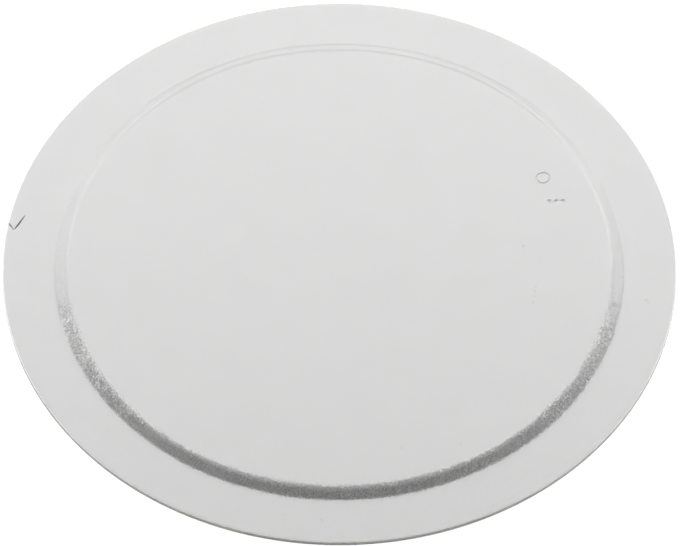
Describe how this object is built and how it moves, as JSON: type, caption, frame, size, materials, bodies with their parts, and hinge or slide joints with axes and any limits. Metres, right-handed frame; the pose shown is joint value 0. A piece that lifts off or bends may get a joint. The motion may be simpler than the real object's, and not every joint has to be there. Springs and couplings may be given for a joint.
{
  "type": "microwave antenna cover",
  "caption": "Round moulded cover with a flat rim, an S-shaped step and a raised flat centre, for the antenna in a microwave oven's floor. Its rim has a small crack.",
  "frame": {"origin": "middle of the underside of the rim, which is the plane that the cover lies on", "axes": "+Z along the cover's axis, up through the raised centre; the crack in the rim is near -X"},
  "size_m": [0.225, 0.225, 0.0036],
  "materials": {
    "cover_plastic": "natural, undyed plastic moulded against an etched tool: pale grey, satin, with a fine pebble grain"
  },
  "bodies": {
    "root": {"cover": "cover_plastic"}
  },
  "joints": []
}
